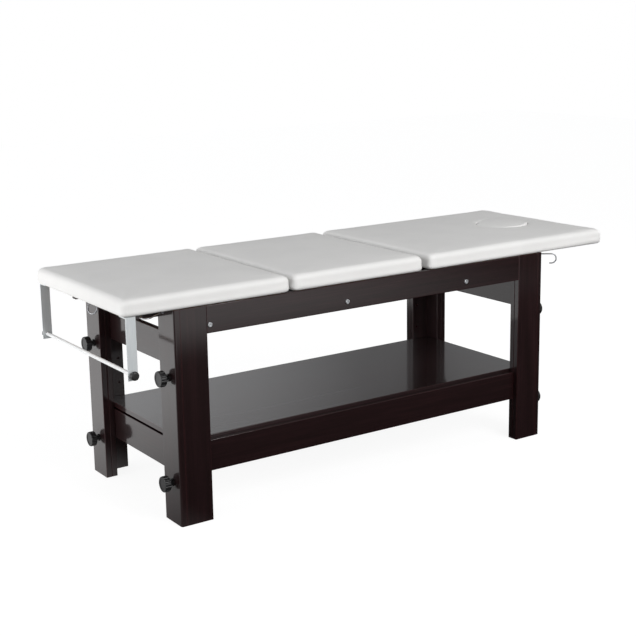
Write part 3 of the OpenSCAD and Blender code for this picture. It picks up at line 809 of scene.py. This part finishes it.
@dataclass
class Cushion:
    """A foam cushion in leatherette, inflated by cloth simulation from its CAD pad.

    The cover swells by up to 2 mm on a coarse copy of the pad, and a fine copy, which keeps the
    pad's tight edges, takes that swelling. The wrapped underside and the sides next to the board
    stay put.
    """

    node: str
    name: str
    body: str
    shrink_mm: float = 0.5
    weld_mm: float = 0.02
    cloth_mm: float = 8.0
    voxel_mm: float = 4.0
    calm: int = 3
    pressure: float = 4.0
    frames: int = 20
    cap_mm: float = 1.8
    held_mm: float = 14.0
    # So many coarse points carry a fine one, each by how near it is, down to near_mm.
    near: int = 4
    near_mm: float = 0.1
    side_room_mm: float = 0.8
    top_room_mm: float = 2.5
    fill: float = 0.85
    # The middle and the radius of a hole that stays open, in metres.
    hole: tuple[float, float, float] | None = None
    pucker_mm: float = 0.5
    fold_mm: float = 11.0
    fold_reach_mm: float = 34.0
    fold_depth_mm: float = 14.0
    # By the share of the height, the folds come in at the hem and fade towards the top.
    fold_rise: float = 9.0
    fold_fade: float = 1.6
    fold_start: float = 1.15
    sink_mm: float = 0.0
    lean_deg: float = 0.0

    def corners(self) -> tuple[np.ndarray, np.ndarray]:
        """Gives the lowest and the highest corner of the CAD pad."""
        low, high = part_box(self.node)
        return np.array(low), np.array(high)

    def even(self, voxel_mm: float) -> bpy.types.Mesh:
        """Copies the CAD pad, a little smaller, as an even mesh.

        Args:
            voxel_mm: the size of its faces.

        Returns:
            The mesh.
        """
        low, high = self.corners()
        mesh = bpy.data.objects[self.node].data.copy()
        made = bmesh.new()
        made.from_mesh(mesh)
        bmesh.ops.remove_doubles(made, verts=made.verts, dist=self.weld_mm * MM)
        made.to_mesh(mesh)
        made.free()
        points = coordinates(mesh)
        anchor = (low + high) / 2
        anchor[2] = low[2]
        share = 1 - self.shrink_mm * MM / (high - anchor)
        mesh.vertices.foreach_set("co", (anchor + (points - anchor) * share).ravel())
        holder = bpy.data.objects.new(self.name + "_start", mesh)
        bpy.context.scene.collection.objects.link(holder)
        remesh = holder.modifiers.new("even", "REMESH")
        remesh.mode = "VOXEL"
        remesh.voxel_size = voxel_mm * MM
        smooth = holder.modifiers.new("calm", "SMOOTH")
        smooth.factor, smooth.iterations = 0.5, self.calm
        result = evaluated(holder)
        bpy.data.objects.remove(holder)
        return result

    def inflate(self) -> tuple[np.ndarray, np.ndarray]:
        """Runs the cloth simulation on a coarse copy of the pad.

        Returns:
            The copy's points, and how far each moves, by no more than the cap.
        """
        low, _ = self.corners()
        mesh = self.even(self.cloth_mm)
        start = coordinates(mesh)
        obj = bpy.data.objects.new(self.name + "_cloth", mesh)
        bpy.context.scene.collection.objects.link(obj)
        held = obj.vertex_groups.new(name="held")
        level = (start[:, 2] - low[2]) / MM
        held.add(np.nonzero(level < self.held_mm)[0].tolist(), 1.0, "REPLACE")
        cloth = obj.modifiers.new("inflate", "CLOTH")
        wanted = cloth.settings
        wanted.vertex_group_mass = held.name
        wanted.quality = 6
        wanted.mass = 0.35
        wanted.tension_stiffness = wanted.compression_stiffness = 40
        wanted.shear_stiffness = 12
        wanted.bending_stiffness = 3.0
        wanted.use_pressure = True
        wanted.uniform_pressure_force = self.pressure
        wanted.effector_weights.gravity = 0.0
        cloth.collision_settings.use_collision = False
        cloth.point_cache.frame_start = 1
        cloth.point_cache.frame_end = self.frames
        scene = bpy.context.scene
        for number in range(1, self.frames + 1):
            scene.frame_set(number)
        moved = coordinates(evaluated(obj))
        scene.frame_set(1)
        bpy.data.objects.remove(obj)
        step = moved - start
        size = np.linalg.norm(step, axis=1, keepdims=True)
        cap = self.cap_mm * MM
        LOG.info("%s swelled %.1f mm at most", self.name, float(size.max()) / MM)
        return start, step * (cap * np.tanh(size / cap) / np.maximum(size, TINY))

    def carry(self, points: np.ndarray, start: np.ndarray, step: np.ndarray) -> np.ndarray:
        """Moves fine points as the coarse points nearest to them moved.

        Args:
            points: the fine points.
            start: the coarse points before the simulation.
            step: how far each coarse point moved.

        Returns:
            The fine points, moved.
        """
        tree = KDTree(len(start))
        for k, point in enumerate(start):
            tree.insert(point, k)
        tree.balance()
        moved = points.copy()
        for k, point in enumerate(points):
            found = tree.find_n(point, self.near)
            weight = np.array([1 / (away + self.near_mm * MM) for _, _, away in found])
            moved[k] += weight @ step[[n for _, n, _ in found]] / weight.sum()
        return moved

    def settle(self, points: np.ndarray) -> np.ndarray:
        """Keeps the points in the room that the pad has, and clear of the plug's hole.

        Args:
            points: the inflated points.

        Returns:
            The points in their places.
        """
        low, high = self.corners()
        side = self.side_room_mm * MM
        points[:, :2] = np.clip(points[:, :2], low[:2] - side, high[:2] + side)
        points[:, 2] = np.clip(points[:, 2], low[2], high[2] + self.top_room_mm * MM)
        if self.hole is not None:
            x, y, radius = self.hole
            away = points[:, :2] - (x, y)
            far = np.linalg.norm(away, axis=1, keepdims=True)
            inside = far[:, 0] < radius
            points[inside, :2] = (x, y) + away[inside] / np.maximum(far[inside], TINY) * radius
        return points

    def pucker(self, points: np.ndarray) -> np.ndarray:
        """Adds the small folds that the cover takes where it is pulled round the corners.

        Args:
            points: the points in their places.

        Returns:
            The points with folds on the sides next to the corners.
        """
        low, high = self.corners()
        share = np.clip((points[:, 2] - low[2]) / (high[2] - low[2]), 0, 1)
        fading = np.clip(self.fold_start - share * self.fold_fade, 0, 1)
        fade_up = fading * np.clip(share * self.fold_rise, 0, 1)
        for cx, inward_x in ((low[0], 1), (high[0], -1)):
            for cy, inward_y in ((low[1], 1), (high[1], -1)):
                from_x = np.abs(points[:, 0] - cx)
                from_y = np.abs(points[:, 1] - cy)
                along = from_x + from_y
                on_edge = np.minimum(from_x, from_y) < self.fold_depth_mm * MM
                wave = np.cos(along / (self.fold_mm * MM) * 2 * math.pi)
                fold = wave * np.exp(-along / (self.fold_reach_mm * MM))
                push = fold * fade_up * on_edge * self.pucker_mm * MM
                points[:, 0] += np.where(from_x < from_y, push * inward_x, 0)
                points[:, 1] += np.where(from_x < from_y, 0, push * inward_y)
        return points

    def tip(self, points: np.ndarray) -> np.ndarray:
        """Sinks and leans the top, as on a loose piece that isn't pressed in evenly.

        Args:
            points: the points in their places.

        Returns:
            The points, with those of the underside where they were.
        """
        low, high = self.corners()
        share = (points[:, 2] - low[2]) / (high[2] - low[2])
        along = points[:, 0] - (low[0] + high[0]) / 2
        slope = math.tan(math.radians(self.lean_deg))
        points[:, 2] += share * (along * slope - self.sink_mm * MM)
        return points

    def make(self) -> bpy.types.Object:
        """Builds the cushion in place of its CAD pad.

        Returns:
            The cushion.
        """
        mesh = self.even(self.voxel_mm)
        points = coordinates(mesh)
        points = self.carry(points, *self.inflate())
        points = self.tip(self.pucker(self.settle(points)))
        mesh.vertices.foreach_set("co", points.ravel())
        mesh.update()
        obj = new_object(self.name, mesh, VINYL)
        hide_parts(self.node)
        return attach(obj, self.body)


@dataclass
class Base:
    """The lower frame: inner posts, rails, shelf and what joins them."""

    upright: tuple[str, ...] = tuple(f"inner_post_{corner}" for corner in CORNERS)
    lengthways: tuple[str, ...] = (
        "low_rail_near",
        "low_rail_far",
        "shelf_panel",
        "shelf_bearers",
    )
    crossways: tuple[str, ...] = tuple(
        f"{level}_cross_rail_{end}" for level in ("low", "high") for end in ENDS
    )

    def make(self, frame: Frame) -> None:
        """Dresses the boards along their grain, and what joins them.

        Args:
            frame: the loaded frame.
        """
        dress_boards(frame, self.upright, self.lengthways, self.crossways)
        dress(frame, ("low_rail_dowels",), BIRCH)
        dress(frame, ("cross_rail_screws",), STEEL)


@dataclass
class UpperFrame:
    """The frame that slides on the base: outer posts, top rails, cross bars and the seat."""

    upright: tuple[str, ...] = tuple(f"outer_post_{corner}" for corner in CORNERS)
    lengthways: tuple[str, ...] = ("top_rail_near", "top_rail_far", "seat_battens")
    crossways: tuple[str, ...] = (
        "cross_bar_foot",
        "cross_bar_seat",
        "cross_bar_head",
        "prop_bar",
    )
    metal: tuple[str, ...] = (
        "rail_bolts",
        "barrel_nuts",
        "captive_nuts",
        "hinge_leaves_foot_fixed",
        "hinge_leaves_head_fixed",
        "hinge_pins",
        "stay_brackets",
    )
    seat: Cushion = field(
        default_factory=lambda: Cushion("seat_pad", "seat_cushion", "upper_frame")
    )
    hook_finish: Finish = PlatedSteel(
        "steel_chrome_wire", colour="#b4b6ba", dull="#94969b", rough=(0.12, 0.3)
    )

    def make(self, frame: Frame) -> None:
        """Dresses the boards and metal and pads the seat.

        Args:
            frame: the loaded frame.
        """
        dress_boards(frame, self.upright, self.lengthways, self.crossways)
        dress(frame, ("seat_board", "top_rail_dowels"), BIRCH)
        dress(frame, self.metal, STEEL)
        dress(frame, ("coat_hooks",), self.hook_finish)
        self.seat.make()


@dataclass
class FootSection:
    """The foot section with its prop and its roll holder."""

    foot: Cushion = field(
        default_factory=lambda: Cushion("foot_pad", "foot_cushion", "foot_section")
    )
    strap_finish: Finish = BrushedAluminium("aluminium_brushed")
    rod_finish: Finish = WhitePowderCoat("powder_coat_white")

    def make(self, frame: Frame) -> None:
        """Dresses the section and pads it.

        Args:
            frame: the loaded frame.
        """
        dress(frame, ("foot_board",), BIRCH)
        dress_boards(frame, lengthways=("foot_battens",))
        dress(frame, ("hinge_leaves_foot_moving", "prop_brackets", "foot_prop"), STEEL)
        dress(frame, ("roll_strap_near", "roll_strap_far"), self.strap_finish)
        dress(frame, ("roll_rod",), self.rod_finish)
        dress(frame, ("roll_caps",), NYLON)
        self.foot.make()


@dataclass
class HeadSection:
    """The head section with its stay and the plug of its face hole."""

    hole_room_mm: float = 0.4
    plug_room_mm: float = 0.1
    plug_crown_mm: float = 1.5
    plug_sink_mm: float = 4.0
    plug_lean_deg: float = 3.0

    def make(self, frame: Frame) -> None:
        """Dresses the section, pads it and makes the plug.

        Args:
            frame: the loaded frame.
        """
        dress(frame, ("head_board",), BIRCH)
        dress_boards(frame, lengthways=("head_battens",))
        dress(frame, ("hinge_leaves_head_moving", "head_stay"), STEEL)
        low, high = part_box("face_plug")
        middle = (low + high) / 2
        radius = (high.x - low.x) / 2
        Cushion(
            "head_pad",
            "head_cushion",
            "head_section",
            hole=(middle.x, middle.y, radius + self.hole_room_mm * MM),
        ).make()
        Cushion(
            "face_plug",
            "face_plug_cushion",
            "face_plug",
            cloth_mm=4.0,
            voxel_mm=2.0,
            cap_mm=self.plug_crown_mm,
            side_room_mm=-self.plug_room_mm,
            top_room_mm=self.plug_crown_mm,
            pucker_mm=0.0,
            sink_mm=self.plug_sink_mm,
            lean_deg=self.plug_lean_deg,
        ).make()


@dataclass
class ClampKnobs:
    """The eight fluted knobs that clamp the upper frame on the base."""

    nodes: tuple[str, ...] = tuple(
        f"knob_{corner}_{level}" for corner in CORNERS for level in ("high", "low")
    )

    def make(self, frame: Frame) -> None:
        """Dresses the knobs."""
        dress(frame, self.nodes, NYLON)


@dataclass(frozen=True)
class Band:
    """A stretch of the floor, in metres, over which a level rises smoothly from none to full."""

    start: float
    end: float
    full: float

    def inputs(self, along: bpy.types.NodeSocket) -> SocketMap:
        """Gives the sockets that map a place on the floor to the level."""
        return {"Value": along, "From Min": self.start, "From Max": self.end, "To Max": self.full}


@dataclass(frozen=True)
class PaperSweep(Finish):
    """Matt white background paper, which glows so brightly that the picture shows it as plain
    white.

    What lights the table and mirrors in it is a dimmer glow of the paper: in front, a painted
    shade of the table under it, a brighter stretch behind it, and less light far to the right.
    """

    paper: str = "#7c7c7c"
    seen: float = 0.9
    front: Band = Band(-2.0, -2.7, 1.0)
    back: Band = Band(-0.8, 1.2, 1.15)
    # How far back the painted shade of the table reaches, right of the foot end.
    under: Band = Band(-0.8, -0.3, 2.6)
    right: Band = Band(3.2, 0.8, 1.0)
    # The glow that is left in the painted shade under the table.
    painted_shade_glow: float = 0.02

    def shade(self, tree: bpy.types.NodeTree) -> bpy.types.NodeSocket:
        """Builds the matt paper with its own glow, with the table's shade painted into it.

        Args:
            tree: the material's node tree.

        Returns:
            The shader socket.
        """
        place = add_node(
            tree, "SeparateXYZ", {"Vector": add_node(tree, "TexCoord").outputs["Object"]}
        ).outputs
        front = add_node(
            tree, "MapRange", self.front.inputs(place["Y"]), interpolation_type=SMOOTH
        ).outputs["Result"]
        under = add_node(
            tree, "MapRange", self.under.inputs(place["X"]), interpolation_type=SMOOTH
        ).outputs["Result"]
        behind = add_node(
            tree, "Math", {0: place["Y"], 1: under}, operation="SUBTRACT"
        ).outputs["Value"]
        back = add_node(
            tree, "MapRange", self.back.inputs(behind), interpolation_type=SMOOTH
        ).outputs["Result"]
        both = add_node(tree, "Math", {0: front, 1: back}, operation="ADD").outputs["Value"]
        right = add_node(
            tree, "MapRange", self.right.inputs(place["X"]), interpolation_type=SMOOTH
        ).outputs["Result"]
        # The paper's glow, with the table's shade painted in.
        painted_glow_level = add_node(
            tree, "Math", {0: both, 1: right, 2: self.painted_shade_glow}, operation="MULTIPLY_ADD"
        ).outputs["Value"]
        painted_glow = add_node(tree, "Emission", {"Strength": painted_glow_level}).outputs["Emission"]
        seen = add_node(
            tree,
            "BsdfPrincipled",
            {
                "Base Color": linear(self.paper),
                "Roughness": 0.9,
                "Specular IOR Level": 0.1,
                "Emission Color": linear(WHITE),
                "Emission Strength": self.seen,
            },
        ).outputs["BSDF"]
        ray = add_node(tree, "LightPath").outputs["Is Camera Ray"]
        return add_node(tree, "MixShader", {0: ray, 1: painted_glow, 2: seen}).outputs["Shader"]


@dataclass(frozen=True)
class Softbox:
    """A soft square light: where it hangs and what it points at, in metres, its side and power."""

    name: str
    at: Point
    aim: Point
    side: float
    watts: float

    def hang(self) -> None:
        """Hangs the light in its place."""
        data = bpy.data.lights.new(self.name, "AREA")
        data.shape = "SQUARE"
        data.size = self.side
        data.energy = self.watts
        obj = bpy.data.objects.new(self.name, data)
        bpy.context.scene.collection.objects.link(obj)
        way = Vector(self.aim) - Vector(self.at)
        turn = way.to_track_quat("-Z", "Y").to_matrix().to_4x4()
        obj.matrix_world = Matrix.Translation(self.at) @ turn


@dataclass
class Studio:
    """The camera, the floor and the light."""

    image_px: float = 636.0
    sensor_mm: float = 36.0
    eye_mm: Point = (-2509.8, -3556.5, 1514.0)
    yaw_deg: float = -33.177
    pitch_deg: float = -11.903
    roll_deg: float = -1.158
    focal_px: float = 1263.6
    centre_px: tuple[float, float] = (292.0, 286.8)
    clip_m: Span = (0.1, 100.0)
    floor_half_m: float = 12.0
    floor_drop_mm: float = 0.5
    # What share of the horizon's glow comes from a way, by how far that way points to the right.
    horizon: tuple[tuple[float, float], ...] = (
        (0.157, 1.0),
        (0.3, 0.864),
        (0.4, 0.664),
        (0.5, 0.432),
        (0.57, 0.21),
        (0.6, 0.19),
        (0.66, 0.29),
        (0.8, 0.16),
    )
    horizon_glow: float = 1.25
    zenith_glow: float = 0.25
    # How far up a way points where the horizon's glow starts to fade and where it has gone.
    dusk: Span = (0.3, 0.7)
    backdrop: float = 1.0
    tint: str = "#fcfdff"
    softboxes: tuple[Softbox, ...] = (
        Softbox("softbox_left", (-3.6, 0.3, 0.72), (-0.9, 0.0, 0.6), side=1.2, watts=27.0),
        Softbox("softbox_right", (4.2, -0.6, 1.1), (0.0, 0.0, 0.5), side=2.0, watts=30.0),
        Softbox("softbox_front", (0.6, -3.6, 2.7), (0.0, 0.0, 0.5), side=2.0, watts=84.0),
    )

    def camera(self) -> None:
        """Places the camera where the photograph was taken from."""
        yaw, pitch, roll = (math.radians(a) for a in (self.yaw_deg, self.pitch_deg, self.roll_deg))
        ahead = Vector(
            (-math.sin(yaw) * math.cos(pitch), math.cos(yaw) * math.cos(pitch), math.sin(pitch))
        )
        right = Vector((math.cos(yaw), math.sin(yaw), 0.0))
        up = right.cross(ahead)
        turned_right = math.cos(roll) * right + math.sin(roll) * up
        turned_up = -math.sin(roll) * right + math.cos(roll) * up
        data = bpy.data.cameras.new("camera")
        data.sensor_width = self.sensor_mm
        data.lens = self.focal_px / self.image_px * self.sensor_mm
        data.shift_x = (self.image_px / 2 - self.centre_px[0]) / self.image_px
        data.shift_y = (self.centre_px[1] - self.image_px / 2) / self.image_px
        data.clip_start, data.clip_end = self.clip_m
        obj = bpy.data.objects.new("camera", data)
        bpy.context.scene.collection.objects.link(obj)
        turn = Matrix((turned_right, turned_up, -ahead)).transposed().to_4x4()
        obj.matrix_world = Matrix.Translation(Vector(self.eye_mm) * MM) @ turn
        bpy.context.scene.camera = obj

    def floor(self) -> None:
        """Lays a plain white floor."""
        half, drop = self.floor_half_m, -self.floor_drop_mm * MM
        mesh = bpy.data.meshes.new("floor")
        corners = [(x * half, y * half, drop) for x, y in ((-1, -1), (1, -1), (1, 1), (-1, 1))]
        mesh.from_pydata(corners, [], [(0, 1, 2, 3)])
        new_object("floor", mesh, PaperSweep("paper_white"), smooth=False)

    def world(self) -> None:
        """Lights the room: bright at the horizon, dimmer overhead and far to the right."""
        world = bpy.data.worlds.new("studio")
        world.use_nodes = True
        tree = world.node_tree
        tree.nodes.clear()
        way = add_node(tree, "TexCoord").outputs["Generated"]
        parts = add_node(tree, "SeparateXYZ", {"Vector": way}).outputs
        shares = add_node(
            tree,
            "ValToRGB",
            {"Fac": parts["X"]},
            stops=[(place, (share, share, share, 1.0)) for place, share in self.horizon],
        ).outputs["Color"]
        horizon = add_node(
            tree, "Math", {0: shares, 1: self.horizon_glow}, operation="MULTIPLY"
        ).outputs["Value"]
        level = add_node(
            tree,
            "MapRange",
            {
                "Value": parts["Z"],
                "From Min": self.dusk[0],
                "From Max": self.dusk[1],
                "To Min": horizon,
                "To Max": self.zenith_glow,
            },
            interpolation_type=SMOOTH,
        ).outputs["Result"]
        lighting = add_node(
            tree, "Background", {"Color": linear(self.tint), "Strength": level}
        ).outputs["Background"]
        seen = add_node(
            tree, "Background", {"Color": linear(WHITE), "Strength": self.backdrop}
        ).outputs["Background"]
        ray = add_node(tree, "LightPath").outputs["Is Camera Ray"]
        mixed = add_node(tree, "MixShader", {0: ray, 1: lighting, 2: seen}).outputs["Shader"]
        add_node(tree, "OutputWorld", {"Surface": mixed})
        bpy.context.scene.world = world

    def make(self) -> None:
        """Sets up the whole studio."""
        bpy.context.scene.view_settings.view_transform = "Standard"
        self.camera()
        self.floor()
        self.world()
        for softbox in self.softboxes:
            softbox.hang()


def main() -> None:
    """Builds every sub-assembly in order."""
    logging.basicConfig(level=logging.INFO, format="%(name)s: %(message)s")
    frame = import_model()
    Studio().make()
    for part in (Base(), UpperFrame(), FootSection(), HeadSection(), ClampKnobs()):
        part.make(frame)
        LOG.info("%s is done", type(part).__name__)


if __name__ == "__main__":
    main()
